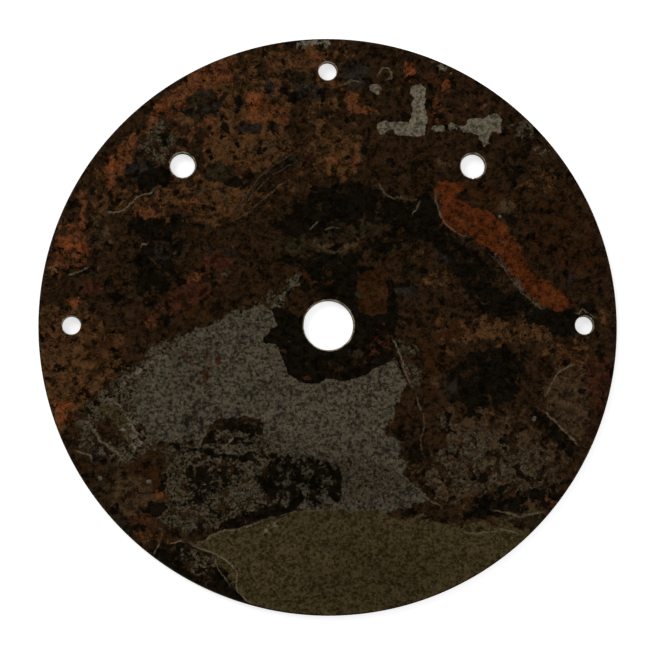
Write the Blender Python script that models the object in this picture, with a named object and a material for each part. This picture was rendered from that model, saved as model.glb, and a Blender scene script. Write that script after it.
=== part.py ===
"""Disc bell: one flat disc of steel plate, struck like a bell, with six round holes to mount or hang it.

Run it with blender --background --python part.py, or from the text editor.
Metres, +Z up. The disc lies on its back face with its centre over the origin.
Its front face looks up, and the top edge of that face points along +Y.
"""

from math import cos, pi, sin

import bmesh
import bpy
from mathutils import Matrix

MM = 0.001
DEGREE = pi / 180

# The disc
DISC_DIAMETER = 152.4 * MM
DISC_THICKNESS = 3.175 * MM
RIM_ROUND = 0.4 * MM

# The centre hole, which drops over the rod and sleeve of a cymbal stand
CENTRE_HOLE_DIAMETER = 13.1 * MM
CENTRE_HOLE_CHAMFER = 0.45 * MM

# The pair of hanging holes, which take a cord each: one either side of the top
HANGING_HOLE_DIAMETER = 6.5 * MM
HANGING_HOLE_CHAMFER = 0.45 * MM
HANGING_HOLE_FROM_RIM = 19.05 * MM
HANGING_HOLE_FROM_TOP = 42.2 * DEGREE

# The three small holes near the rim, at the right, top and left
EDGE_HOLE_DIAMETER = 4.85 * MM
EDGE_HOLE_CHAMFER = 0.25 * MM
EDGE_HOLE_FROM_RIM = 8.65 * MM

# The mark where the cutting beam entered the wall of the right-hand hanging hole
NICK_RADIUS = 0.25 * MM

# Turns about the disc's centre, from +X
RIGHT = 0 * DEGREE
TOP = 90 * DEGREE
LEFT = 180 * DEGREE

# Facets
RIM_STEPS = 240
ROUND_STEPS = 2
CENTRE_HOLE_STEPS = 72
HANGING_HOLE_STEPS = 48
EDGE_HOLE_STEPS = 40
NICK_STEPS = 12

# How far a cutter runs past each face of the disc
CUTTER_OVERRUN = 2.0 * MM
SHARP_ANGLE = 30 * DEGREE


def clear_scene():
    for old in list(bpy.data.objects):
        bpy.data.objects.remove(old)


def steel():
    """Hot-rolled steel under dark mill scale and rust."""
    material = bpy.data.materials.new("scaled_steel")
    material.use_nodes = True
    shader = material.node_tree.nodes["Principled BSDF"]
    shader.inputs["Base Color"].default_value = (0.030, 0.020, 0.013, 1.0)
    shader.inputs["Metallic"].default_value = 0.35
    shader.inputs["Roughness"].default_value = 0.6
    return material


def turned_solid(name, profile, steps):
    """A solid turned about its own Z axis, from (radius, height) points up its outer side."""
    shape = bmesh.new()
    rings = []
    for radius, height in profile:
        lift = Matrix.Translation((0, 0, height))
        circle = bmesh.ops.create_circle(shape, segments=steps, radius=radius, matrix=lift)
        rings.append(circle["verts"])
    for lower, upper in zip(rings, rings[1:]):
        for here in range(steps):
            after = (here + 1) % steps
            shape.faces.new((lower[here], lower[after], upper[after], upper[here]))
    shape.faces.new(rings[0])
    shape.faces.new(rings[-1])
    bmesh.ops.recalc_face_normals(shape, faces=shape.faces)
    mesh = bpy.data.meshes.new(name)
    shape.to_mesh(mesh)
    shape.free()
    solid = bpy.data.objects.new(name, mesh)
    bpy.context.scene.collection.objects.link(solid)
    return solid


def broken_edge(width):
    """An edge's round or chamfer, which leaves at least half of the disc's thickness straight."""
    return min(width, DISC_THICKNESS / 4)


def rim_profile():
    """Up the disc's side, with a quarter round at the back face and another at the front face."""
    radius = DISC_DIAMETER / 2
    rounding = broken_edge(RIM_ROUND)
    back = []
    for step in range(ROUND_STEPS + 1):
        turn = pi / 2 * step / ROUND_STEPS
        back.append((radius - rounding * (1 - sin(turn)), rounding * (1 - cos(turn))))
    front = [(r, DISC_THICKNESS - z) for r, z in reversed(back)]
    return back + front


def as_cutter(tool, place):
    tool.location = (*place, 0)
    tool.hide_render = True
    tool.display_type = "WIRE"
    return tool


def hole_cutter(name, diameter, chamfer, steps, place):
    """A drill through the disc, which widens at each face to leave the chamfer there."""
    radius = diameter / 2
    depth = broken_edge(chamfer)
    flared = radius + depth + CUTTER_OVERRUN
    profile = [
        (flared, -CUTTER_OVERRUN),
        (radius, depth),
        (radius, DISC_THICKNESS - depth),
        (flared, DISC_THICKNESS + CUTTER_OVERRUN),
    ]
    return as_cutter(turned_solid(name, profile, steps), place)


def nick_cutter(name, place):
    """A thin drill that grazes a hole's wall."""
    profile = [(NICK_RADIUS, -CUTTER_OVERRUN), (NICK_RADIUS, DISC_THICKNESS + CUTTER_OVERRUN)]
    return as_cutter(turned_solid(name, profile, NICK_STEPS), place)


def inside_rim(distance, turn):
    """The point at this turn about the disc's centre, this far in from the rim."""
    radius = DISC_DIAMETER / 2 - distance
    return radius * cos(turn), radius * sin(turn)


def hole_cutters():
    tools = [
        hole_cutter(
            "centre_hole", CENTRE_HOLE_DIAMETER, CENTRE_HOLE_CHAMFER, CENTRE_HOLE_STEPS, (0, 0)
        )
    ]
    pair = {"right": TOP - HANGING_HOLE_FROM_TOP, "left": TOP + HANGING_HOLE_FROM_TOP}
    for side, turn in pair.items():
        name = f"{side}_hanging_hole"
        place = inside_rim(HANGING_HOLE_FROM_RIM, turn)
        tools.append(
            hole_cutter(name, HANGING_HOLE_DIAMETER, HANGING_HOLE_CHAMFER, HANGING_HOLE_STEPS, place)
        )
    for side, turn in {"right": RIGHT, "top": TOP, "left": LEFT}.items():
        name = f"{side}_edge_hole"
        place = inside_rim(EDGE_HOLE_FROM_RIM, turn)
        tools.append(hole_cutter(name, EDGE_HOLE_DIAMETER, EDGE_HOLE_CHAMFER, EDGE_HOLE_STEPS, place))
    right_x, right_y = inside_rim(HANGING_HOLE_FROM_RIM, pair["right"])
    tools.append(nick_cutter("cutting_nick", (right_x, right_y - HANGING_HOLE_DIAMETER / 2)))
    return tools


def bell_disc():
    disc = turned_solid("bell_disc", rim_profile(), RIM_STEPS)
    for tool in hole_cutters():
        cut = disc.modifiers.new(tool.name, "BOOLEAN")
        cut.operation = "DIFFERENCE"
        cut.solver = "EXACT"
        cut.object = tool
    disc.data.shade_smooth()
    disc.data.set_sharp_from_angle(angle=SHARP_ANGLE)
    disc.data.materials.append(steel())
    return disc


clear_scene()
bell_disc()
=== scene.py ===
"""Disc bell: the looks of a flat steel disc under dark mill scale and rust.

The disc lies on its back face. Places on its front face are in millimetres from its centre,
x to the right and y towards the top edge hole, as the photograph shows it.
"""

from math import cos, pi, radians, sin

import bpy
import numpy as np
from mathutils import Matrix, Vector
from mathutils.geometry import delaunay_2d_cdt


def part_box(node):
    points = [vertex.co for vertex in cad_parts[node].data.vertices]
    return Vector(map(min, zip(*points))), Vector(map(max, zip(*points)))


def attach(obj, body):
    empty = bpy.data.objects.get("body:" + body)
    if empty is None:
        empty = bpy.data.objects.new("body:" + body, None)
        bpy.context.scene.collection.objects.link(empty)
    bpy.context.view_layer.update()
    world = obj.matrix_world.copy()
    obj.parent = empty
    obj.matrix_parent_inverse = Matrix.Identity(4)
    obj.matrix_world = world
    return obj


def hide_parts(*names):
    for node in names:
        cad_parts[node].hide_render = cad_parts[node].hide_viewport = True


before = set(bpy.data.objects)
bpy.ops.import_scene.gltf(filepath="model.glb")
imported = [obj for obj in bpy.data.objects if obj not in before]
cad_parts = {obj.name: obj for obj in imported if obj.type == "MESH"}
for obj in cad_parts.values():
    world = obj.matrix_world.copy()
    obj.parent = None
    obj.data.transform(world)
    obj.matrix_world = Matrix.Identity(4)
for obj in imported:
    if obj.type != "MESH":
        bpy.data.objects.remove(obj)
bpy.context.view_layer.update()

MM = 0.001
NODE = "bell_disc"
BODY = "root"

# The disc's size comes from the frame
lowest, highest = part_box(NODE)
DISC_RADIUS = (highest.x - lowest.x) / 2 / MM
BACK_Z = lowest.z / MM
FRONT_Z = highest.z / MM
RIM_ROUND = 0.4

# Each kind of hole: diameter and chamfer in mm, and steps round its wall
CENTRE_HOLE = (13.1, 0.45, 144)
HANGING_HOLE = (6.5, 0.45, 120)
EDGE_HOLE = (4.85, 0.25, 80)
HANGING_HOLE_FROM_RIM = 19.05
HANGING_HOLE_FROM_TOP = radians(42.2)
EDGE_HOLE_FROM_RIM = 8.65
NICK_RADIUS = 0.25

# Centre x and y of each hole in mm, rounded to a thousandth, and its kind
HANGING_X = round((DISC_RADIUS - HANGING_HOLE_FROM_RIM) * sin(HANGING_HOLE_FROM_TOP), 3)
HANGING_Y = round((DISC_RADIUS - HANGING_HOLE_FROM_RIM) * cos(HANGING_HOLE_FROM_TOP), 3)
EDGE_REACH = round(DISC_RADIUS - EDGE_HOLE_FROM_RIM, 3)
HOLES = {
    "centre": (0, 0, *CENTRE_HOLE),
    "right_hanging": (HANGING_X, HANGING_Y, *HANGING_HOLE),
    "left_hanging": (-HANGING_X, HANGING_Y, *HANGING_HOLE),
    "right_edge": (EDGE_REACH, 0, *EDGE_HOLE),
    "top_edge": (0, EDGE_REACH, *EDGE_HOLE),
    "left_edge": (-EDGE_REACH, 0, *EDGE_HOLE),
}

# A hole's worn chamfer from the face into the wall: how far out and how far down, in chamfers
WORN_CHAMFER = ((1, 0), (0.45, 0.38), (0.1, 0.8), (0, 1.2))
# Height of a hole's front corner in mm, and how much of it is worn bare steel with a painted highlight
WORN_AND_HIGHLIT_CORNER = 0.5
HOLE_WEAR_AND_HIGHLIGHT = 0.8

# Mesh: spacing of a face's points in mm, with rows, shake and clearance from an edge in spacings
FRONT_SPACING = 0.53
BACK_SPACING = 1.5
ROW_STEP = 0.866
SHAKE = 0.1
EDGE_CLEARANCE = 0.6
WIDEST_HOLE_SPACING = 0.6
FRONT_SEED = 5
BACK_SEED = 6
# Steps round and across the edges
RIM_STEPS = 720
RIM_ROUND_STEPS = 3
RIM_WALL_STEPS = 5
HOLE_WALL_STEPS = 4
# Points nearer than this in mm would merge, and edges bent more than this are shaded sharp
MERGE_DISTANCE = 1e-7
SHARP_ANGLE = radians(40)

# Relief of the front face in mm: broad dents, bare patches, scale, rust and crumbs, and the deepest place
DENT_DEPTH = 0.02
BARE_DEPTH = 0.03
SCALE_DEPTH = 0.012
RUST_DEPTH = 0.02
CRUMB_DEPTH = 0.012
DEEPEST = 0.12

# Finishes of the surface: darkest and lightest colour (sRGB, 0 to 255), roughness, metallic
FINISHES = {
    "umber": ((9, 6, 3), (49, 33, 19), 0.62, 0.30),
    "soot": ((5, 4, 2), (22, 17, 10), 0.55, 0.20),
    "steel": ((28, 25, 19), (74, 67, 54), 0.45, 0.70),
    "ash": ((56, 50, 39), (100, 93, 78), 0.55, 0.50),
    "olive": ((32, 26, 12), (66, 56, 35), 0.55, 0.45),
    "ochre": ((22, 14, 6), (86, 57, 32), 0.75, 0.10),
    "rust": ((32, 17, 8), (102, 60, 34), 0.80, 0.05),
    "ember": ((62, 29, 11), (118, 64, 34), 0.80, 0.05),
    "streak": ((30, 14, 5), (90, 44, 19), 0.72, 0.10),
    "wine": ((20, 9, 6), (66, 37, 23), 0.70, 0.10),
    "slate": ((10, 8, 7), (42, 35, 29), 0.50, 0.45),
    "moss": ((12, 9, 5), (46, 38, 24), 0.60, 0.30),
    "bark": ((20, 11, 4), (54, 32, 15), 0.65, 0.20),
    "tan": ((26, 18, 10), (72, 55, 36), 0.68, 0.20),
    "speckle": ((6, 5, 3), (74, 65, 49), 0.60, 0.40),
    "cut": ((12, 9, 7), (50, 42, 33), 0.50, 0.60),
    # Worn bare steel on the holes' front corners, painted light as their highlight
    "bare_and_highlight": ((70, 62, 48), (150, 139, 116), 0.40, 0.80),
}
DARK_LINE = (10, 7, 4)
PALE_LINE = (92, 82, 64)
DARK_LINE_COVER = 0.8
# Where a line fades: its soft edge in half widths, how near it has to be in mm, and its breaks
LINE_EDGE = (0.6, 1.3)
LINE_REACH = (0.45, 0.7)
LINE_BREAKS = (0.38, 0.52)
LINE_WOBBLE = 1.6

# Noises in the material: size of the lumps in mm, detail, roughness, distortion, and offset
MARBLING = (3.2, 8, 0.68, 0.9, (0, 0, 0))
MOTTLING = (1.5, 8, 0.72, 0.4, (0.3, 0.1, 0.2))
CRUMBS = (0.75, 5, 0.7, 0.0, (0.7, 0.5, 0.4))
GRAIN = (0.28, 3, 0.7, 0.0, (0.2, 0.9, 0.6))
# How a finish goes from dark to light: the share of a second noise, and where it is darkest and lightest
MOTTLE = (0.55, 0.665, 0.885)
SHEEN = (0.5, 0.655, 0.845)
CRUMBLE = (0.6, 0.70, 0.92)
# The noise that swings a finish's weight, how far it does, and how much more weight wins outright
SWING_NOISE = (0.36, 0.64)
WEIGHT_SWING = (0.15, 1.85)
CLEAR_WIN = 0.12
# How far the grain changes the colour and the roughness, and its bump, in mm
TONE_SWING = 0.4
ROUGHNESS_SWING = 0.08
BUMP_STRENGTH = 0.6
BUMP_HEIGHT = 0.03

# The camera that fits the photograph, in mm and degrees
CAMERA_DISTANCE = 906.0
CAMERA_SHIFT = (0.44, 0.62)
CAMERA_TURN_X = -4.95
CAMERA_TURN_Y = 2.46
LENS = 189.3
SENSOR_WIDTH = 36.0

# Lamps: place and size in metres, and power in watts
KEY_LIGHT = ((-0.75, 0.75, 1.1), 0.7, 9.0)
FILL_LIGHT = ((1.1, -0.5, 0.9), 0.9, 2.5)
# The room's strength as light, and the floor's colour, glow, reach in metres and gap under the disc in mm
ROOM_LIGHT = 0.55
FLOOR_COLOUR = 0.8
FLOOR_GLOW = 0.6
FLOOR_REACH = 3.0
FLOOR_GAP = 0.05

# Large odd numbers that scramble whole numbers, and the size of a whole number they fit in
SCRAMBLERS = (374761393, 668265263, 974634777, 1274126177, 2246822519)
WHOLE = 0xFFFFFFFF
# What brings noise and clouds to about -1 to 1, and the step between the seeds of a cloud's noises
NOISE_GAIN = 1.6
CLOUD_PEAK = 1.4
SEED_STEP = 31
FAR = 1e9
TINY = 1e-9


def fraction(points, seed):
    """A fixed random number from 0 to 1 for each whole-numbered point."""
    x = points[:, 0].astype(np.int64)
    y = points[:, 1].astype(np.int64)
    first, second, third, fourth, fifth = SCRAMBLERS
    mixed = (x * first + y * second + seed * third) & WHOLE
    mixed = ((mixed ^ (mixed >> 13)) * fourth) & WHOLE
    mixed = ((mixed ^ (mixed >> 16)) * fifth) & WHOLE
    return ((mixed ^ (mixed >> 15)) & 0xFFFFFF) / 0xFFFFFF


def noise(points, size, seed):
    """Smooth gradient noise, about -1 to 1, whose lumps are this many mm wide."""
    place = points / size
    corner = np.floor(place)
    part = place - corner
    fade = part ** 3 * (part * (part * 6 - 15) + 10)
    rows = []
    for step_y in (0, 1):
        row = []
        for step_x in (0, 1):
            step = np.array((step_x, step_y))
            turn = 2 * pi * fraction(corner + step, seed)
            away = part - step
            row.append(away[:, 0] * np.cos(turn) + away[:, 1] * np.sin(turn))
        rows.append(row[0] + (row[1] - row[0]) * fade[:, 0])
    return NOISE_GAIN * (rows[0] + (rows[1] - rows[0]) * fade[:, 1])


def clouds(points, size, seed, octaves=4):
    """Noise with finer noise over it, about -1 to 1."""
    total = np.zeros(len(points))
    for octave in range(octaves):
        total += 0.5 ** octave * noise(points, size * 0.5 ** octave, seed + SEED_STEP * octave)
    return total / CLOUD_PEAK


def smooth_step(value):
    value = np.clip(value, 0, 1)
    return value * value * (3 - 2 * value)


def curve_through(points, closed=False, steps=5):
    """A smooth curve through these points."""
    points = np.array(points, float)
    if closed:
        ringed = np.concatenate([points[-1:], points, points[:2]])
    else:
        ringed = np.concatenate([2 * points[:1] - points[1:2], points, 2 * points[-1:] - points[-2:-1]])
    out = []
    for before, here, after, beyond in zip(ringed, ringed[1:], ringed[2:], ringed[3:]):
        for step in range(steps):
            t = step / steps
            slope = (after - before) * t
            bend = (2 * before - 5 * here + 4 * after - beyond) * t ** 2
            twist = (3 * here - before - 3 * after + beyond) * t ** 3
            out.append(0.5 * (2 * here + slope + bend + twist))
    if not closed:
        out.append(points[-1])
    return np.array(out)


def nearest_on(points, start, end):
    """How far along a straight piece each point's nearest place is, from 0 to 1, and how far away."""
    run = end - start
    away = points - start
    share = np.clip((away @ run) / max(run @ run, TINY), 0, 1)
    return share, np.hypot(*(away - share[:, None] * run).T)


def spot(x, y, half_width, half_height=None, turn=0):
    """An oval. Each shape gives how many mm a point lies inside it."""
    half_height = half_height or half_width

    def inside(points):
        away = points - (x, y)
        along = away[:, 0] * cos(radians(turn)) + away[:, 1] * sin(radians(turn))
        across = away[:, 1] * cos(radians(turn)) - away[:, 0] * sin(radians(turn))
        return (1 - np.hypot(along / half_width, across / half_height)) * min(half_width, half_height)

    return inside


def blot(*corners, rounded=True):
    """A closed outline through these corners."""
    outline = curve_through(corners, closed=True, steps=4) if rounded else np.array(corners, float)

    def inside(points):
        nearest = np.full(len(points), FAR)
        within = np.zeros(len(points), bool)
        for start, end in zip(outline, np.roll(outline, -1, axis=0)):
            _, gap = nearest_on(points, start, end)
            nearest = np.minimum(nearest, gap)
            run = end - start
            spans = (start[1] > points[:, 1]) != (end[1] > points[:, 1])
            rise = run[1] if abs(run[1]) > TINY else TINY
            crossing = start[0] + (points[:, 1] - start[1]) / rise * run[0]
            within ^= spans & (points[:, 0] < crossing)
        return np.where(within, nearest, -nearest)

    return inside


def side_of_line(points, line):
    """Signed distance from a line, and how far along it the nearest place is, from 0 to 1."""
    nearest = np.full(len(points), FAR)
    signed = np.full(len(points), FAR)
    along = np.zeros(len(points))
    lengths = np.hypot(*np.diff(line, axis=0).T)
    starts = np.concatenate([[0], np.cumsum(lengths)])
    for index, (start, end) in enumerate(zip(line, line[1:])):
        share, gap = nearest_on(points, start, end)
        run = end - start
        away = points - start
        closer = gap < nearest
        side = np.where(run[0] * away[:, 1] - run[1] * away[:, 0] < 0, -1, 1)
        nearest = np.where(closer, gap, nearest)
        signed = np.where(closer, gap * side, signed)
        along = np.where(closer, starts[index] + share * lengths[index], along)
    return signed, along / starts[-1]


def tapered(along, rate, end):
    """1 along a line, and less towards its ends, by how fast it grows and where it starts there."""
    return smooth_step(rate * np.minimum(along, 1 - along) + end)


def trail(width, *places):
    """A band of this width along a line, drawn in at its ends."""
    line = curve_through(places)

    def inside(points):
        signed, along = side_of_line(points, line)
        return width / 2 * tapered(along, 4, 0.35) - np.abs(signed)

    return inside


def patches(size, seed, gain, loss):
    """Cloudy patches of this size all over: sharper with more gain, and rarer with more loss."""
    return lambda points: gain * clouds(points, size, seed) - loss


class Patina:
    """How much of each finish lies at each point of a face, and the fine lines over it."""

    # Sizes of the lumps that push a shape's edge about and thin a ragged coat, and their push, in mm
    COARSE_SIZE = 7
    COARSE_PUSH = 1.2
    FINE_SIZE = 1.9
    FINE_PUSH = 0.9
    BREAKUP_SIZE = 3.0
    # A ragged coat's share of its full amount, how far that swings, and how much softer its edge is
    RAGGED_SHARE = 0.9
    RAGGED_SWING = 0.25
    RAGGED_SOFTNESS = 0.7
    # How much of the push a line gets, and the distance that stands for no line
    LINE_DRIFT = 0.35
    NO_LINE = 9.0

    def __init__(self, points, ground="umber"):
        count = len(points)
        self.points = points
        self.share = {name: np.zeros(count) for name in FINISHES}
        self.share[ground][:] = 1
        self.tone = np.ones(count)
        self.lines = {}
        for kind in ("pale_line", "dark_line"):
            self.lines[kind] = (np.full(count, self.NO_LINE), np.full(count, self.NO_LINE), np.zeros(count))
        coarse = np.stack([clouds(points, self.COARSE_SIZE, seed) for seed in (11, 12)], 1)
        fine = np.stack([clouds(points, self.FINE_SIZE, seed) for seed in (13, 14)], 1)
        self.drift = self.COARSE_PUSH * coarse + self.FINE_PUSH * fine
        self.breakup = clouds(points, self.BREAKUP_SIZE, 15)

    def amount(self, shape, share, soft, ragged):
        """How much of a coat each point gets."""
        inside = shape(self.points + ragged * self.drift)
        edge = soft * (1 + self.RAGGED_SOFTNESS * min(ragged, 1))
        return share * smooth_step(0.5 + inside / edge)

    def cover(self, finish, amount):
        """Lays a finish over what is there."""
        for other in self.share.values():
            other *= 1 - amount
        self.share[finish] += amount

    def coat(self, finish, shape, share=1.0, soft=1.2, ragged=1.0):
        """Lays a finish over a shape, by its share, with an edge this soft in mm and this ragged."""
        amount = self.amount(shape, share, soft, ragged)
        if ragged >= 1:
            amount *= self.RAGGED_SHARE + self.RAGGED_SWING * self.breakup
        self.cover(finish, np.clip(amount, 0, 1))

    def shade(self, shape, tone, soft=2.0, ragged=1.0):
        """Darkens or lightens what lies in a shape."""
        self.tone *= 1 + (tone - 1) * self.amount(shape, 1.0, soft, ragged)

    def draw(self, kind, width, *places, strength):
        """Draws a thin line that fades out at its ends."""
        points = self.points + self.LINE_DRIFT * self.drift
        signed, along = side_of_line(points, curve_through(places))
        side, near, force = self.lines[kind]
        gap = np.abs(signed)
        closer = gap < near
        side[closer] = signed[closer] / (width / 2)
        near[closer] = gap[closer]
        force[closer] = strength * tapered(along, 5, 0.15)[closer]

    def pale(self, *places, width=0.5, strength=0.8):
        self.draw("pale_line", width, *places, strength=strength)

    def dark(self, *places, width=0.5, strength=0.8):
        self.draw("dark_line", width, *places, strength=strength)

    def attributes(self):
        """Every value that the material reads, by name."""
        found = dict(self.share)
        found["tone"] = self.tone
        for kind, (side, near, force) in self.lines.items():
            found[kind + "_side"] = side
            found[kind + "_near"] = near
            found[kind + "_force"] = force
        return found


def paint_ground(face):
    """Brown scale all over, in broad clouds of black, red-brown and ochre."""
    face.coat("soot", patches(12, 41, 3, 0.3), 0.45, 3)
    face.coat("wine", patches(8, 42, 3, 1.0), 0.4, 3)
    face.coat("ochre", patches(9, 43, 3, 1.3), 0.3, 3)
    face.coat("tan", patches(6, 44, 3, 1.4), 0.35, 2)


def paint_upper_left(face):
    """Broad ochre and rust from the left rim to the top."""
    coat = face.coat
    coat("ochre", blot(
        (-62, 28), (-60, 42), (-48, 57), (-30, 69), (-8, 75), (6, 72), (4, 58), (10, 50), (8, 40), (-2, 40),
        (-8, 37), (-22, 28), (-34, 25), (-46, 27)
    ), 0.45, 5)
    coat("rust", trail(
        4.5, (-58, 37), (-56, 42), (-52, 47), (-48, 52), (-43, 57), (-39, 61), (-34, 65)
    ))
    coat("rust", spot(-31, 66.5, 6, 4, 25), 0.9, 2)
    coat("ember", spot(-57, 42, 2.6, 1.5, 50), 0.8)
    coat("ember", spot(-44, 56.6, 3.4, 1.3, 42), 0.75)
    coat("soot", trail(1.0, (-55, 40), (-53, 43), (-49, 49), (-45, 53), (-42, 57), (-38, 60)), 0.6)
    coat("umber", spot(-46, 50, 7, 5, 45), 0.55, 3)
    coat("speckle", spot(-45, 48, 6, 6, 45), 0.45, 3)
    coat("slate", spot(-49, 41, 4.5, 4), 0.8, 3)
    coat("soot", spot(-46, 39, 5, 3.5, 20), 0.6, 3)
    coat("moss", spot(-33, 58, 5, 4.5), 0.75, 2)
    coat("slate", spot(-31.5, 58.5, 2.5, 3.5), 0.7, 2)
    coat("ochre", spot(-25, 55, 5, 2.2, 5), 0.85, 2)
    coat("rust", spot(-32, 50, 4, 5), 0.5, 2)
    coat("umber", trail(3.5, (-33, 52), (-34, 47), (-33, 43)), 0.6, 2)
    coat("ember", trail(1.6, (-32.3, 49), (-32.6, 46), (-32, 43)), 0.7)
    coat("rust", spot(-18, 57.5, 3.8, 4), 0.95, 2)
    coat("ember", spot(-19, 58.5, 2.4, 3), 0.6)
    coat("rust", spot(-12, 55, 4, 2.5, -30), 0.5, 2)
    coat("slate", spot(-15.5, 63.8, 1.7, 0.9), 1.0, ragged=0.4)
    coat("slate", spot(-15, 61.8, 1.7, 0.7), 0.7, ragged=0.4)
    coat("moss", spot(-8, 66, 4, 1.8, -20), 0.85, 1.5)
    coat("slate", spot(-5, 62, 4, 2.3), 0.75, 1.5)
    coat("soot", spot(-8.5, 60.5, 3, 1.4), 0.5)
    coat("umber", spot(-7.5, 53.5, 2.5, 4.2, -10), 0.85, 1.5)
    coat("bark", spot(-8, 52.5, 1.6, 3), 0.6)
    coat("soot", spot(-27.3, 52.3, 0.9, 1.1), 1.0, 0.6, ragged=0.5)
    coat("slate", blot(
        (-23.5, 52), (-21.5, 53.2), (-19, 53.5), (-17.5, 52), (-19.5, 50.5), (-22.5, 50.8)
    ), 0.9, ragged=0.6)
    coat("soot", trail(0.9, (-23.5, 50.6), (-21, 49.8), (-19, 50), (-17.5, 49)), 0.9)
    coat("ochre", spot(-21, 45.5, 8, 4.5, 5), 0.8, 3)
    coat("tan", spot(-18, 47, 4, 2.5), 0.6, 2)
    coat("ochre", spot(-29, 46, 3.5, 4), 0.6, 2)
    coat("moss", spot(-28, 40, 4, 3), 0.9, 1.5)
    coat("moss", spot(-11, 43, 4.5, 1.8, 20), 0.9, 1.5)
    coat("wine", spot(-22, 41, 3, 2), 0.6)
    coat("umber", spot(-15, 39.5, 5, 2.5, 25), 0.7, 2)
    coat("soot", spot(-26, 37.5, 6, 1.6, -5), 0.5)
    coat("wine", trail(1.8, (-12, 39), (-8, 41), (-4, 46), (-1, 48)), 0.7)
    coat("tan", spot(-30, 35, 6, 2.5), 0.6, 2)
    coat("ochre", blot((-35, 34), (-28, 37), (-22, 34), (-20, 30), (-24, 28), (-30, 29)), 0.6, 2)
    coat("rust", spot(-36.5, 33, 2, 1.8), 0.85, 1.5)
    coat("ember", spot(-36.6, 33.4, 1.1, 1), 0.5)
    coat("rust", spot(-48, 29.5, 2.8, 2), 0.7, 2)
    coat("ochre", spot(-6, 70, 5, 2.5, 10), 0.6, 2)
    coat("ash", spot(-2, 75, 4.5, 1.4), 0.55, 1.5)
    coat("ash", spot(-6.5, 74.3, 1.6, 1.2), 0.6)
    coat("rust", spot(-3, 71, 3, 1), 0.5)


def paint_line_bundle(face):
    """Thin folds of scale that run together to the upper left of the centre hole."""
    for step in range(7):
        rise = step * 1.35
        face.dark(
            (-29 + step * 0.4, 26 + rise * 0.35), (-24.5, 26.6 + rise * 0.55), (-20, 29 + rise * 0.8),
            (-15.5, 32.5 + rise), (-11, 36 + rise), (-6, 39 + rise * 1.1), width=0.6, strength=0.6
        )
    for step in (1, 4, 6):
        rise = step * 1.35
        face.pale(
            (-27 + step * 0.4, 26.7 + rise * 0.4), (-22, 28.3 + rise * 0.7), (-17.5, 31.7 + rise),
            (-12.5, 35.6 + rise), (-7.5, 38.6 + rise), width=0.35, strength=0.3
        )


def paint_upper_middle(face):
    """Black scale above the centre hole, and the grey-olive cloud band across it."""
    coat = face.coat
    pale = face.pale
    coat("soot", blot(
        (-13, 24), (-11, 31), (-4, 35), (6, 38), (14, 36), (25, 35), (29, 28), (24, 24), (10, 26), (2, 24),
        (-6, 22)
    ), 0.8, 4)
    coat("soot", spot(28, 27, 5, 6, 20), 0.85, 3)
    coat("soot", spot(0, 16, 10, 2), 0.5, 3)
    coat("moss", trail(6.5, (-15, 22), (-6, 21), (2, 22), (9, 25), (16, 27)), 0.65, 4)
    coat("tan", trail(3, (-5, 20), (3, 20.5), (9, 22.5)), 0.5, 3)
    coat("soot", trail(3.0, (-12, 17.5), (-3, 17), (6, 18), (14, 21), (22, 22)), 0.6, 3)
    coat("umber", blot((-25, 14), (-15, 15), (-11, 11), (-18, 7), (-27, 9)), 0.8, 3)
    coat("slate", spot(-27, 20, 5, 2.2), 0.55, 3)
    coat("wine", spot(-30, 17, 4, 2), 0.7, 2)
    coat("wine", spot(-33, 12.5, 5, 3), 0.8, 3)
    coat("rust", spot(-34, 13, 2.5, 1.5), 0.5, 2)
    coat("slate", spot(20.5, 8, 4.5, 3), 0.65, 3)
    coat("moss", spot(23, 14, 5, 3, 20), 0.5, 3)
    coat("slate", spot(30.5, 18, 2.2, 2.2), 0.9, 2)
    pale((-5, 25), (-3.7, 26.6), (-2.5, 27.5), width=0.45, strength=0.6)
    pale((-1, 25.5), (1, 26), (3, 25.7), width=0.45, strength=0.5)
    pale((22, 29), (23, 31), (24, 33), width=0.45, strength=0.7)
    pale((13, 38), (14, 36), (15.5, 34.3), (18, 33), width=0.45, strength=0.6)
    coat("tan", spot(19.5, 33.5, 3, 1), 0.75)
    pale((-28.4, 13), (-27.3, 13.6), (-26.8, 12.6), width=0.45, strength=0.6)
    pale((-26, 2), (-23, 1.8), (-20, 1.5), width=0.45, strength=0.6)


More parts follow.
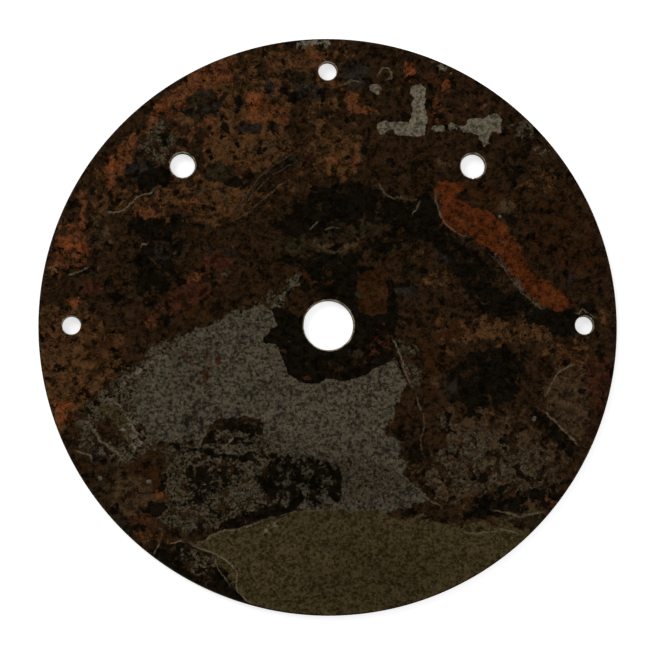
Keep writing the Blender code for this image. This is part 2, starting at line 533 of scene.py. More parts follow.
def paint_steel(face):
    """The large smooth area where the scale has come off, and its smeared, rusted left side."""
    coat = face.coat
    shade = face.shade
    coat("steel", blot(
        (-27, 2.5), (-21, 4), (-16, 4), (-13, 0), (-11, -9), (-4, -13), (8, -12), (16, -8), (19, -13),
        (20.5, -17), (18, -20), (17, -24), (14.5, -29), (18.5, -31.5), (19, -34), (21, -41), (25, -46),
        (14, -49), (0, -48.5), (-12, -48), (-14, -38), (-14, -33), (-17, -29.5), (-17, -25), (-23, -24),
        (-29, -24.5), (-31.5, -27), (-34, -31), (-39, -30.5), (-45, -30.5), (-49, -26), (-51, -21),
        (-53, -18), (-50, -14), (-46, -9), (-40, -5), (-34, -1)
    ), soft=1.4, ragged=0.8)
    shade(blot((-27, 1), (-18, 3), (-14, -3), (-20, -12), (-30, -22), (-36, -20), (-32, -6)), 1.02, soft=6)
    # Black crumbs where the scale is only half gone
    coat("speckle", blot(
        (-58, -16), (-50, -9), (-43, -4), (-38, -2), (-39, -6), (-46, -12), (-49, -18), (-54, -22),
        (-58, -20)
    ), 0.75, 2.5)
    coat("ash", trail(2.0, (-55, -16.5), (-50, -12.5), (-45, -8.5), (-40, -5.5)), 0.5, 2)
    coat("wine", blot(
        (-40, -8), (-31, -5), (-28, -10), (-33, -17), (-38, -16), (-43, -19), (-45, -15)
    ), 0.46, 5)
    coat("rust", spot(-34, -11, 5, 4, 30), 0.3, 4)
    shade(spot(-35, -12, 6, 6), 0.9, soft=5)
    coat("slate", blot(
        (-35.5, -17.5), (-31, -18), (-29.5, -22), (-32, -26), (-35.5, -30), (-38.5, -29), (-36.5, -22)
    ), 0.6, 2.5)
    coat("ash", spot(-43, -27, 6, 3.5, -10), 0.3, 4)
    coat("speckle", spot(-46, -29.5, 3.5, 2), 0.5, 2)
    shade(blot((-27, 2), (-17, 3), (-16, -4), (-28, -3), (-38, -7)), 0.93, soft=4)
    shade(blot((-12, -15), (16, -12), (19, -20), (16, -28), (-8, -30)), 1.06, soft=6)
    coat("wine", spot(-26, -19, 6, 3, 20), 0.2, 4)
    # The smooth steel darkens and breaks into crumbs towards its lower edge
    coat("speckle", blot(
        (-16, -29), (-4, -32), (10, -34), (19, -38), (20, -47), (8, -48.5), (-12, -48)
    ), 0.55, 6)
    coat("soot", blot((-16, -34), (-2, -35), (6, -40), (2, -47), (-14, -47.5)), 0.5, 5)
    shade(blot((-14, -33), (4, -34), (18, -39), (20, -47), (-12, -48)), 0.8, soft=6)


def paint_centre(face):
    """The black scalloped scale round the centre hole, and the warm brown square beside it."""
    coat = face.coat
    coat("soot", blot(
        (-15, 3), (-13.4, 0), (-15.5, -1.3), (-17.5, -3.2), (-16.5, -5.2), (-14.4, -5), (-13, -6.6),
        (-12, -9), (-11.2, -10.6), (-10.4, -13), (-9, -14), (-6, -15.2), (-3, -15), (0, -14.3), (4, -14.4),
        (8, -13.8), (11, -12.5), (13.7, -10.6), (16.6, -8.5), (17, -3), (18, 6), (12, 15), (0, 15),
        (-8, 13), (-13, 8)
    ), soft=0.9, ragged=0.6)
    coat("umber", spot(-7, 7, 5.5, 6, 30), 0.75, 3)
    coat("umber", spot(6, -10.5, 7, 2.4, 10), 0.5, 2)
    coat("moss", spot(6.5, -7.4, 2.4, 1.1), 0.9, ragged=0.5)
    coat("moss", spot(-9.5, -5, 2.5, 4), 0.4, 2)
    coat("wine", spot(-11.5, -6.2, 1.2, 0.9), 0.9, ragged=0.5)
    coat("wine", spot(-5.5, -13.7, 1.6, 0.8), 0.8, ragged=0.5)
    coat("wine", spot(13, -5, 4, 5, -20), 0.5, 3)
    coat("bark", blot(
        (7.6, 3.5), (7.6, 13.5), (11, 14.8), (15.4, 14.3), (15.6, 3.2), (11, 2.6), rounded=False
    ), 0.95, 0.9, ragged=0.35)
    coat("bark", spot(-2, 12.5, 8, 2.5), 0.5, 2)
    face.shade(spot(13, 9, 3, 3), 1.3)
    coat("moss", spot(8.3, 8.5, 1.2, 1.2), 0.9)
    # The crumbly upper-left edge of the black scale
    coat("speckle", trail(4.5, (-20, 5), (-15, 6), (-12, 9), (-8, 13)), 0.65, 3)
    coat("ash", trail(1.6, (-20, 3.8), (-16, 4.4), (-13, 7), (-10.5, 10.5)), 0.4, 1.5)
    face.pale((16.5, -3), (18, -6), (19.5, -10), (20.5, -13), (22, -17), width=0.55)
    coat("speckle", blot((17, -3), (22, -4), (25, -10), (23, -17), (20.5, -16), (19, -9)), 0.5, 2)


def paint_bottom(face):
    """The olive area at the bottom, and the dark wedge at its left."""
    coat = face.coat
    pale = face.pale
    coat("olive", blot(
        (-35, -57), (-33, -56.5), (-29, -54.3), (-25, -53.8), (-20, -52.5), (-17, -51), (-14, -50.5),
        (-10, -49.5), (-5, -49), (0, -48.8), (12, -49), (20, -51), (30, -52), (38, -55), (42, -54.6),
        (46, -53.8), (52, -56), (40, -68), (20, -78), (0, -80), (-19, -79), (-19, -74.5), (-23, -71),
        (-24.5, -69), (-24.3, -66), (-25, -63.5), (-28, -61), (-31, -59.5)
    ), soft=1.0, ragged=0.6)
    # A black band painted as shadow along the olive area's upper edge
    coat("soot", trail(2.6, (-30, -53.5), (-26, -51.5), (-21, -50), (-16, -49), (-9, -48.3)), 0.7, 1.5)
    pale((-35, -57), (-33, -56.5), (-29, -54.3), (-25, -53.6), (-20, -52.3), (-17, -50.8))
    pale((-14, -50.3), (-10, -49.3), (-5, -48.8), (0, -48.6), width=0.4, strength=0.4)
    pale((34, -54), (38, -55), (42, -54.6), (46, -53.8), (50, -55.3), strength=0.6)
    coat("ash", spot(-15, -53.3, 2.6, 1.7), 0.5, 1.6)
    coat("ash", spot(-9, -68, 4, 2), 0.18, 3)
    face.shade(spot(-15, -61, 12, 8), 1.05, soft=6)
    face.shade(spot(5, -67, 16, 8), 0.88, soft=8)
    for x, y, size in ((5, -59.5, 3), (17, -64.5, 3.5), (22, -67, 3), (12, -62, 3), (27, -63, 2.5)):
        face.shade(spot(x, y, size, size * 0.7), 0.86, soft=3)
    coat("ochre", spot(36, -66, 6, 2, 40), 0.3, 3)
    # Bottom left
    coat("soot", blot(
        (-44, -58), (-38, -58), (-31, -60.5), (-28, -63), (-26.5, -66), (-24.8, -69.5), (-23, -71.6),
        (-19, -75), (-30, -80), (-50, -64)
    ), 0.8, 1.5)
    coat("olive", trail(2.4, (-31, -60), (-28.5, -62), (-26.4, -64.5), (-25.4, -67.5), (-24.6, -70)), 0.7)
    coat("speckle", blot((-38, -58.5), (-31, -60.5), (-29, -65), (-34, -67), (-39, -62)), 0.5, 2)
    coat("moss", spot(-46, -61, 3, 2), 0.5)
    pale(
        (-38, -56), (-35, -58), (-31, -59.5), (-28, -61), (-25, -63.5), (-24.3, -66), (-24.5, -69),
        (-23, -71), (-19, -74)
    )
    pale((-30, -61), (-29, -64), (-27, -67), (-26, -69), width=0.4, strength=0.6)
    pale((-42, -57.5), (-40, -57), (-38, -57))
    pale((-46, -60), (-45.2, -58.6), (-44.5, -57))


def paint_lower_left(face):
    """Crumbly bands below the smooth steel, and brown and olive towards the rim."""
    coat = face.coat
    pale = face.pale
    coat("speckle", blot(
        (-42, -31), (-36, -31.5), (-33, -30), (-30, -26), (-22, -25.5), (-17, -28), (-13, -33), (-12, -40),
        (-14, -47), (-20, -50), (-30, -53), (-40, -54), (-48, -50), (-44, -40)
    ), 0.75, 3)
    coat("soot", trail(2.0, (-33.5, -31.5), (-30, -28), (-26, -26.5), (-21, -27.5), (-17, -29)), 0.7, 2)
    coat("soot", trail(1.2, (-30, -30.5), (-24, -30.2), (-18, -31.5)), 0.8)
    coat("soot", trail(
        1.6, (-39, -33.2), (-30, -33.7), (-22, -34.7), (-15, -34), (-8, -33.5), (-2, -34)
    ), 0.8, 1.5)
    coat("soot", blot((-37, -38), (-28, -36.5), (-22, -37), (-24, -42), (-32, -46), (-37, -45)), 0.55, 3)
    coat("soot", blot((-15, -35), (-4, -35), (0, -39), (-6, -46), (-15, -47), (-20, -42)), 0.45, 4)
    coat("steel", spot(-24, -33, 6, 1, -5), 0.6, 1.2)
    coat("steel", spot(-21, -44, 5, 3, 20), 0.4, 3)
    face.dark((-28, -29), (-24, -29.6), (-20, -29.5), (-18, -31))
    pale((-28, -32), (-26.5, -30.6), (-25, -29), width=0.4)
    # Brown and olive towards the rim
    coat("bark", blot(
        (-62, -36), (-52, -35), (-44, -38), (-42, -46), (-44, -52), (-50, -57), (-62, -45)
    ), 0.6, 4)
    coat("moss", blot((-64, -36), (-56, -36), (-52, -42), (-56, -48), (-63, -44)), 0.5, 3)
    coat("tan", spot(-51, -45, 8, 6, -30), 0.5, 4)
    coat("soot", spot(-45, -48, 2.4, 1.6), 0.8, 1.5)
    coat("wine", spot(-50, -51, 5, 1.6, -5), 0.7, 2)
    coat("ochre", spot(-47, -55, 4, 2, -10), 0.65, 2)
    coat("moss", spot(-54, -52, 3.4, 2, -45), 0.8, 2)
    coat("rust", spot(-45, -44, 1.3, 1), 0.8)
    # Two tiny pale specks, painted as glints
    coat("ash", spot(-60, -40, 0.6, 0.4), 1.0, 0.5, ragged=0.3)
    coat("ash", spot(-47.3, -41, 0.5, 0.4), 1.0, 0.5, ragged=0.3)
    # The lens with its pale outline, left of the smooth steel
    coat("speckle", blot(
        (-64, -20), (-57, -18), (-51, -21), (-48, -28), (-44, -32), (-50, -36), (-58, -36), (-66, -30)
    ), 0.6, 3)
    coat("olive", blot(
        (-60, -21), (-58, -20), (-55.5, -21.5), (-53.5, -24), (-51.5, -27), (-51, -29.5), (-54, -29),
        (-57, -26), (-60, -24)
    ), 0.6, 1.5, ragged=0.5)
    coat("umber", spot(-58.5, -27.5, 4, 2.5, -35), 0.6, 2)
    coat("soot", spot(-63, -23, 3, 1.5, -20), 0.5, 2)
    # A tiny pale speck, painted as a glint
    coat("ash", spot(-54, -27.5, 0.9, 0.5), 0.9, 0.6, ragged=0.3)
    coat("ash", trail(2.6, (-51.5, -25), (-50.5, -28), (-49, -30.5), (-52, -32)), 0.45, 1.5)
    pale((-60, -21), (-58, -19.5), (-55, -21), (-53, -24), (-51, -27), (-50, -29), (-52, -30), width=0.6)
    pale((-65, -25), (-63, -26), (-61, -28), (-60, -30), (-57, -32), (-55, -34), (-54, -37), width=0.7)
    pale((-67, -32.5), (-63, -34), (-62, -36))
    coat("slate", spot(-60, -34.5, 4, 2, -30), 0.5, 2)


def paint_left(face):
    """Ochre and rust along the left rim, and the dark area beside it."""
    coat = face.coat
    pale = face.pale
    coat("ochre", blot((-76, 2), (-66, 4), (-57, 1), (-54, -8), (-60, -18), (-70, -28), (-76, -20)), 0.7, 4)
    coat("bark", spot(-60, -4, 6, 8), 0.4, 4)
    coat("moss", spot(-62, -19, 4, 2), 0.5, 2)
    coat("ember", spot(-70, -21.3, 2.4, 1.6, -20), 0.85, 1.6)
    coat("ember", spot(-71, -24.3, 2, 1.4), 0.7, 1.5)
    coat("wine", spot(-54, -7, 2.5, 1.5), 0.5, 2)
    coat("wine", spot(-47, 1, 2.5, 1.4), 0.8, 1.5)
    coat("rust", spot(-46.8, 1, 1.1, 0.8), 0.6)
    coat("rust", blot((-74, 14), (-71, 24), (-66, 28), (-62, 23), (-64, 16), (-70, 13)), 0.6, 3)
    coat("ember", spot(-69, 21.5, 1.9, 1.4), 0.95, 1.2, ragged=0.5)
    coat("ember", spot(-64.3, 20.6, 1.5, 1.6), 0.85, 1.2, ragged=0.5)
    coat("rust", trail(1.6, (-65, 36), (-64.3, 31), (-65.6, 27), (-66, 24)), 0.8)
    coat("ember", spot(-67, 6, 1.6, 1), 0.6)
    coat("wine", spot(-62, 10, 4, 2.4), 0.7, 2)
    coat("moss", spot(-62, 13.5, 2.5, 1), 0.8)
    coat("umber", spot(-58, 4, 6, 5), 0.5, 3)
    coat("soot", spot(-56, 8, 2.6, 1.6), 0.7, 1.5)
    pale((-74, 15.4), (-72, 15), (-71, 14))
    pale((-69, 13), (-67.5, 13.2), (-66, 14), (-63, 15.3))
    # Rings of scale round one spot near the rim
    for size in (1.6, 2.8, 4.0):
        places = [(-61 + size * cos(a), 22.5 + 1.25 * size * sin(a)) for a in np.linspace(0.4, 5.6, 9)]
        face.dark(*places, width=0.45, strength=0.6)
    coat("tan", spot(-60.5, 24, 3.4, 4.5), 0.5, 2)
    pale((-60, 30), (-55, 30), (-52, 32), (-50, 34), (-47, 35), (-45, 37))
    face.dark((-59, 31), (-55, 31.3), (-52, 33.5), (-49, 36), strength=0.6)
    # The dark area right of them
    coat("soot", blot(
        (-51, 10), (-51, 22), (-53, 27), (-44, 28), (-38, 29), (-37, 22), (-40, 14), (-45, 8)
    ), 0.7, 4)
    coat("slate", spot(-44, 20, 3, 3.5), 0.6, 3)
    coat("soot", spot(-44, 12, 2.2, 1.8), 0.9, 1.5)
    coat("soot", spot(-48, 14, 1.6, 2), 0.9, 1.5)
    coat("umber", spot(-36, 22, 4, 4), 0.5, 3)
    pale((-49.5, 20.4), (-48.8, 21.6), (-48, 21), (-47.3, 21.8), width=0.4)
    coat("rust", trail(1.4, (-47, 31), (-42, 33), (-40, 31)), 0.4)
    coat("wine", spot(-40, 5, 7, 3.5, 10), 0.55, 3)
    coat("bark", spot(-34, 3.5, 6, 2.5, 15), 0.5, 3)
    coat("wine", spot(-36, 9, 4, 3), 0.6, 3)


def paint_top_right(face):
    """Red-brown ground with two pale patches near the top."""
    coat = face.coat
    coat("umber", blot((9, 48), (12, 52), (38, 52), (46, 48), (40, 38), (26, 36), (10, 38)), 0.8, 4)
    coat("wine", blot((18, 62), (24, 70), (36, 66), (47, 58), (50, 50), (38, 48), (20, 48)), 0.35, 5)
    coat("soot", spot(11, 47, 2, 3), 0.7, 2)
    coat("soot", spot(22, 42, 6, 3.5, 10), 0.6, 3)
    coat("soot", spot(48, 44, 5, 6, -40), 0.45, 3)
    coat("tan", spot(31, 42.5, 3, 2), 0.5, 2)
    coat("moss", blot((4, 69), (8, 71), (12, 68), (10, 64), (5, 63)), 0.8, 1.5)
    coat("slate", spot(7, 66.5, 3.2, 3), 0.7, 1.5)
    face.pale((4, 63.6), (5.5, 64.6), (7, 65.2), (9, 64.8), strength=0.6)
    coat("ash", spot(12.5, 62.8, 1.6, 1.4), 0.95, 0.9, ragged=0.4)
    face.pale((13, 66), (14.5, 68.2), (16.5, 68), (17, 66), (15.5, 65), strength=0.7)
    coat("ember", blot((20.5, 65), (20.5, 70), (23, 69.5), (23, 65.5)), 0.5, 1.4, ragged=0.5)
    coat("rust", spot(6.5, 59.5, 2.2, 3), 0.75, 2)
    coat("rust", trail(1.3, (6, 57), (9, 57), (13, 56.5)), 0.9)
    coat("ochre", spot(4, 46, 5.5, 6), 0.75, 3)
    coat("rust", spot(2, 43.5, 1.8, 1.6), 0.8)
    coat("rust", spot(6, 43.5, 1.6, 1.6), 0.8)
    coat("ember", spot(31.3, 63.2, 1.4, 2), 0.7, 1.2)
    coat("rust", spot(28.5, 57, 0.9, 4), 0.6)
    coat("rust", spot(30.5, 58.5, 0.8, 3), 0.5)
    # Two pale patches where the scale has flaked off to clean steel
    coat("ash", blot(
        (22.1, 63.4), (24.5, 64.2), (25.8, 63.2), (25.7, 58), (26, 54), (25.4, 50.2), (22, 50.2),
        (18.4, 50.6), (17.6, 52.6), (15, 50.8), (13.6, 51.3), (13, 53.8), (15, 54.4), (19, 54),
        (21.4, 53.6), (22.4, 55), (22.3, 59), (23.3, 60.5), (22.1, 61.6), rounded=False
    ), soft=0.7, ragged=0.35)
    coat("ash", blot(
        (34.8, 52.5), (36.5, 53.2), (37.4, 54.8), (41, 55), (44.8, 56), (46.2, 54.5), (45.9, 51.2),
        (43.4, 51.6), (42.6, 49), (40.6, 47.3), (40.2, 50.5), (38.2, 51.2), (36, 51), rounded=False
    ), soft=0.8, ragged=0.45)
    face.shade(spot(24, 58, 3, 7), 1.16, ragged=0.4)
    coat("ash", spot(29, 52.2, 1.8, 0.9), 0.75, 0.8, ragged=0.4)
    coat("ash", spot(33, 52.6, 1.2, 0.9), 0.7, 0.8, ragged=0.4)
    coat("ash", spot(20.3, 51, 1.1, 0.6), 0.6, 0.8, ragged=0.4)
    coat("speckle", spot(52, 52, 3.2, 3), 0.6, 2)
    coat("speckle", spot(57, 46, 2, 1.5), 0.6, 1.5)
    coat("ash", trail(1.2, (27, 70), (30, 69), (33.5, 67.6)), 0.55)
    coat("ochre", spot(56, 38, 5, 6, -50), 0.35, 3)


def paint_streak(face):
    """The long rust streak that runs down to the right."""
    coat = face.coat
    coat("streak", blot(
        (28, 36), (31, 38.5), (36, 37), (34, 34), (37, 31.5), (42, 30.5), (45, 28.5), (47, 26), (50, 22),
        (51.5, 18), (54, 13.5), (58, 11), (62, 8.3), (63, 6), (61, 4), (57, 5), (51, 10), (47, 16),
        (43, 20), (40, 22), (38, 24), (34, 24.5), (31, 27), (29.5, 31)
    ), soft=1.6, ragged=0.7)
    coat("rust", spot(36, 28, 4, 2.4, -20), 0.45, 2)
    coat("rust", spot(47, 22.5, 3, 3.6, 40), 0.4, 2)
    coat("ember", spot(46.6, 22.6, 1.5, 2.2, 40), 0.35, 1.5)
    coat("rust", spot(58.5, 7.2, 3, 1.6, -30), 0.4, 2)
    coat("bark", blot((37, 37), (36, 33), (42, 30.5), (47, 30), (50, 33), (46, 37)), 0.7, 3)
    coat("tan", spot(47, 31.5, 2.2, 2), 0.85, 1.5, ragged=0.5)
    coat("tan", trail(1.8, (29.5, 37), (29, 33), (30, 29.5)), 0.55)
    coat("soot", spot(48.3, 28, 1.2, 1.4), 0.9, ragged=0.4)
    # A tiny pale speck, painted as a glint
    coat("ash", spot(45.5, 28.8, 0.4, 0.4), 1.0, 0.5, ragged=0.2)
    face.pale((28, 36), (28.4, 33.5), (29, 31), (31, 27), (34, 24.5), (38, 23.2), strength=0.55)
    coat("steel", trail(1.3, (42, 19.4), (46, 15.8), (50, 10), (54, 6.4), (57, 4.6)), 0.6)


def paint_right(face):
    """Brown, black and ochre between the streak and the right rim."""
    coat = face.coat
    pale = face.pale
    coat("bark", blot((54, 34), (66, 32), (74, 14), (70, 8), (60, 14), (52, 22)), 0.55, 4)
    coat("umber", blot((60, 14), (70, 14), (72, 6), (64, 7)), 0.6, 2)
    face.shade(spot(60, 22, 8, 9), 0.86, soft=6)
    coat("slate", spot(65, 11.5, 4, 2.6), 0.5, 3)
    coat("tan", spot(66, 24, 2, 1.2), 0.4)
    coat("soot", blot(
        (30, 22), (38, 21), (44, 14), (51, 7), (56, 4), (54, 1), (46, 3), (38, 6), (31, 12)
    ), 0.6, 4)
    coat("soot", spot(47, 5, 4, 2.4, -10), 0.8, 2)
    coat("soot", blot((54, 5), (60, 4), (68, 5), (70, 3), (64, -3), (58, -2), (54, 2)), 0.8, 2)
    coat("ochre", spot(29, 12, 4, 2.5, -20), 0.4, 2)
    coat("moss", spot(52, 2, 2.4, 1.5), 0.8, 1.5)
    coat("ochre", spot(52.3, 2, 1.2, 0.8), 0.4)
    coat("ochre", spot(73.6, 2.5, 1.8, 3.5), 0.7, 2)
    coat("ochre", blot(
        (29, 2), (34, 1.5), (48, 1), (56, 0.5), (57, -3), (50, -5.5), (44, -5), (36, -5.5), (31, -8),
        (28, -6)
    ), 0.65, 3)
    coat("bark", spot(32, -2, 4, 3.5), 0.5, 2)
    coat("ochre", spot(60, -7, 4, 3, -20), 0.7, 2)
    coat("tan", spot(58, -4, 2.4, 1, -20), 0.7)
    coat("ochre", spot(66.5, -6.5, 2, 3, -20), 0.7, 2)
    coat("rust", spot(66, -11, 1.4, 1.4), 0.6)
    # The dark oval, and the darker ground below it
    coat("soot", blot(
        (36, -8), (38, -6), (45, -5.7), (49, -7), (51.5, -10.5), (51, -15), (46, -21), (38, -22), (31, -20),
        (30, -14)
    ), 0.75, 1.8)
    coat("slate", spot(31, -16, 3.4, 4.6), 0.6, 3)
    coat("wine", blot((30, -21), (48, -22), (56, -27), (56, -33), (40, -36), (28, -32)), 0.4, 4)
    coat("bark", blot((22, -3), (30, -6), (31, -12), (28, -20), (24, -19), (25, -11)), 0.55, 3)
    coat("tan", trail(1.6, (24.6, -14), (24, -18), (25.5, -24)), 0.6)
    coat("tan", spot(28, -15, 1.6, 2), 0.5)
    # The tan lens near the right rim
    coat("tan", blot(
        (57, -19), (59, -15), (62, -11.5), (66, -10.5), (68, -16), (68.5, -24), (66, -30), (61, -26)
    ), 0.85, 2)
    coat("wine", blot((67, -8), (74, -9), (75, -20), (70, -24), (67.5, -16)), 0.6, 3)
    coat("soot", trail(2.6, (54, -22), (57, -27), (61, -31), (64, -34)), 0.8, 2)
    pale((57, -19), (58.5, -16), (61, -12), (65, -10))
    pale((56, -22), (58, -24), (61, -27), (64, -30), (66, -32), width=0.6)
    pale((65, 3.6), (66, 3), (66.6, 3.8), (67.4, 4), (69, 3), (71, 2), strength=0.7)
    pale((42, 19), (46, 15.4), (50, 9.6), (54, 6.1), (57, 4.3), width=0.4, strength=0.35)
    # A tiny pale speck, painted as a glint
    coat("ash", spot(54.1, -24.7, 0.5, 0.5), 1.0, 0.5, ragged=0.2)


def paint_lower_right(face):
    """Tan and crumbly ground, darker towards the olive area."""
    coat = face.coat
    coat("tan", blot(
        (22, -22), (32, -22), (50, -24), (58, -30), (64, -36), (56, -48), (40, -50), (28, -48), (20, -36)
    ), 0.45, 4)
    coat("speckle", blot(
        (24, -24), (40, -26), (54, -30), (62, -36), (56, -46), (38, -47), (28, -46), (22, -36)
    ), 0.38, 5)
    coat("umber", blot(
        (20, -17), (26, -18), (28, -24), (30, -32), (24, -38), (20, -32), (15.5, -29), (17.5, -24),
        (18.6, -19)
    ), 0.75, 2)
    coat("soot", blot((15.4, -28.6), (19, -27), (24, -30), (24, -36), (21, -37), (19.5, -32)), 0.6, 2)
    coat("soot", blot((37, -46), (48, -45), (58, -44), (57, -47.5), (46, -50), (38, -50)), 0.55, 2.5)
    coat("tan", spot(53, -47.5, 2.4, 1), 0.7)
    coat("rust", spot(57.5, -46, 2.4, 1), 0.45)
    coat("olive", blot(
        (20, -50), (30, -51), (40, -52), (47, -50), (57, -49), (52, -56), (40, -56), (28, -53)
    ), 0.6, 2)
    coat("moss", blot((47, -51), (55, -50.5), (54, -54), (49, -54.5)), 0.7, 1.5)
    face.pale((42, -48.5), (47, -49.5), (50, -50.3), (54, -49.8), (57, -49), strength=0.6)
    face.pale((22, -42), (24, -44.3), (26, -46), (30, -48), strength=0.5)
    face.pale((23, -17), (23.5, -21), (25, -25), (24, -31), (25, -35), width=0.45, strength=0.4)


def paint_mottles(face):
    """Small flecks of every brown, black and rust, thinner on the smooth steel and the olive area."""
    share = face.share
    smooth = share["steel"] + share["olive"] + share["ash"] + 0.6 * share["soot"] + 0.8 * share["streak"]
    rough = np.clip(1 - smooth - 0.5 * share["bark"] - 0.5 * share["ember"], 0.08, 1)
    warm = np.clip(1.3 * share["rust"] + share["ochre"] + 1.2 * share["ember"] + 0.5 * share["tan"], 0, 1)
    # Each fleck's finish, size in mm, most cover, and how much of that lies where nothing is rusty
    flecks = (
        ("soot", 3.2, 0.5, 1.0),
        ("ochre", 2.6, 0.5, 0.2),
        ("umber", 3.6, 0.45, 1.0),
        ("tan", 2.2, 0.45, 0.35),
        ("rust", 2.8, 0.45, 0.08),
    )
    for seed, (finish, size, cover, elsewhere) in enumerate(flecks, 91):
        field = clouds(face.points, size, seed)
        where = rough * (elsewhere + (1 - elsewhere) * warm)
        face.cover(finish, where * cover * smooth_step(2.2 * field - 0.15))
    face.tone *= 1 + 0.16 * clouds(face.points, 5, 97)


def paint_front(face):
    for paint in (
        paint_ground, paint_upper_left, paint_upper_middle, paint_left, paint_lower_left, paint_top_right,
        paint_right, paint_lower_right, paint_streak, paint_steel, paint_centre, paint_bottom,
        paint_mottles, paint_line_bundle,
    ):
        paint(face)


def paint_back(face):
    """The back's own scale and rust, in broad clouds like the front's."""
    face.coat("soot", patches(16, 61, 3, 0), 0.6, 4)
    face.coat("steel", patches(34, 62, 6, 2.2), 1.0, 1.5)
    face.coat("olive", patches(30, 63, 6, 2.6), 1.0, 1.5)
    face.coat("ochre", patches(15, 64, 4, 1.2), 0.6, 3)
    face.coat("rust", patches(13, 65, 4, 1.8), 0.7, 2)
    face.coat("wine", patches(10, 66, 4, 1.4), 0.6, 3)
    face.coat("speckle", patches(18, 67, 4, 1.5), 0.6, 3)


def edge_patina(points, heights, wear_and_highlight):
    """A cut edge: dark brown down its wall, and worn bare steel with a painted highlight along its front
    corner, by this share.
    """
    face = Patina(np.stack([points[:, 0] + points[:, 1], heights * 3 + points[:, 1]], 1), "cut")
    face.coat("umber", patches(5, 81, 3, 0.4), 0.7, 2, ragged=0)
    face.coat("rust", patches(6, 82, 3, 1.3), 0.6, 2, ragged=0)
    # A hole's front corner is worn bare steel with a painted highlight
    corner = np.where(heights > FRONT_Z - WORN_AND_HIGHLIT_CORNER, 0.9, -9.0)
    face.coat("bare_and_highlight", lambda spread: corner + 1.5 * clouds(spread, 5, 83), wear_and_highlight, 1, ragged=0)
    return face


def ring(x, y, radius, steps):
    turns = np.linspace(0, 2 * pi, steps, endpoint=False)
    return np.stack([x + radius * np.cos(turns), y + radius * np.sin(turns)], 1)


def with_nick(points, x, y, hole_radius):
    """Pushes a hole's ring out into the small nick at its bottom."""
    away = points - (x, y)
    across = np.clip(np.abs(away[:, 0]) / NICK_RADIUS, 0, 1)
    depth = NICK_RADIUS * np.sqrt(1 - across ** 2) * (away[:, 1] < 0)
    pushed = points.copy()
    low = -np.sqrt(np.maximum(hole_radius ** 2 - away[:, 0] ** 2, 0)) - depth
    deeper = (depth > 0) & (away[:, 1] > low)
    pushed[deeper, 1] = y + low[deeper]
    return pushed


def edge_profile(front, radius, wall_steps):
    """Radius and height down an edge: this corner at the front face, a wall, and its twin at the back."""
    back = [(r, BACK_Z + FRONT_Z - z) for r, z in reversed(front)]
    wall = np.linspace(front[-1][1], back[0][1], wall_steps + 1)[1:-1]
    return front + [(radius, z) for z in wall] + back


def edges():
    """Each cut edge of the disc: its name, centre, steps, profile, and whether it faces outward."""
    turns = np.linspace(0, pi / 2, RIM_ROUND_STEPS + 1)
    corner = [(DISC_RADIUS - RIM_ROUND * (1 - sin(t)), FRONT_Z - RIM_ROUND * (1 - cos(t))) for t in turns]
    found = [("rim", (0, 0), RIM_STEPS, edge_profile(corner, DISC_RADIUS, RIM_WALL_STEPS), True)]
    for name, (x, y, diameter, chamfer, steps) in HOLES.items():
        radius = diameter / 2
        corner = [(radius + chamfer * out, FRONT_Z - chamfer * down) for out, down in WORN_CHAMFER]
        found.append((name, (x, y), steps, edge_profile(corner, radius, HOLE_WALL_STEPS), False))
    return found


def sheet_points(spacing, seed):
    """Points all over a face, in a hexagonal pattern that is shaken a little, clear of every edge."""
    rows = np.arange(-DISC_RADIUS, DISC_RADIUS, spacing * ROW_STEP)
    places = []
    for index, y in enumerate(rows):
        x = np.arange(-DISC_RADIUS, DISC_RADIUS, spacing) + (index % 2) * spacing / 2
        places.append(np.stack([x, np.full_like(x, y)], 1))
    points = np.concatenate(places)
    shake = np.random.default_rng(seed).uniform(-SHAKE, SHAKE, points.shape)
    points = points + shake * spacing
    keep = np.hypot(*points.T) < DISC_RADIUS - RIM_ROUND - EDGE_CLEARANCE * spacing
    for x, y, diameter, chamfer, _ in HOLES.values():
        clearance = EDGE_CLEARANCE * min(spacing, WIDEST_HOLE_SPACING)
        keep &= np.hypot(*(points - (x, y)).T) > diameter / 2 + chamfer + clearance
    return points[keep]


def face_sheet(boundaries, spacing, seed):
    """Points and triangles of one face between its edges. The edges' points come first."""
    points = np.concatenate(boundaries + [sheet_points(spacing, seed)])
    links = []
    start = 0
    for boundary in boundaries:
        count = len(boundary)
        links += [(start + i, start + (i + 1) % count) for i in range(count)]
        start += count
    out = delaunay_2d_cdt([Vector(p) for p in points], links, [], 0, MERGE_DISTANCE)
    if len(out[0]) != len(points):
        raise ValueError("the face's points ran together")
    triangles = np.array(out[2])
    middle = points[triangles].mean(axis=1)
    keep = np.ones(len(triangles), bool)
    for boundary in boundaries[1:]:
        centre = boundary.mean(axis=0)
        reach = np.hypot(*(boundary - centre).T).min()
        keep &= np.hypot(*(middle - centre).T) > reach * 0.999
    return points, triangles[keep]


def front_relief(face):
    """How many mm each point of the front face lies below the disc's top."""
    share = face.share
    rusty = share["rust"] + share["streak"] + share["ember"]
    depth = DENT_DEPTH * (1 + clouds(face.points, 26, 71))
    depth += BARE_DEPTH * (share["steel"] + share["ash"] + 0.8 * share["olive"])
    depth += (SCALE_DEPTH + RUST_DEPTH * rusty) * (1 + clouds(face.points, 2.6, 72))
    depth += CRUMB_DEPTH * (share["speckle"] + share["soot"]) * (1 + clouds(face.points, 1.6, 73))
    return np.clip(depth, 0, DEEPEST)


def edge_loops():
    """Each edge's name, rings of points from front face to back face, their heights, and its facing."""
    loops = []
    for name, centre, steps, profile, outward in edges():
        rings = [ring(*centre, radius, steps) for radius, _ in profile]
        if name == "right_hanging":
            rings = [with_nick(points, *centre, HANGING_HOLE[0] / 2) for points in rings]
        loops.append((name, rings, [height for _, height in profile], outward))
    return loops


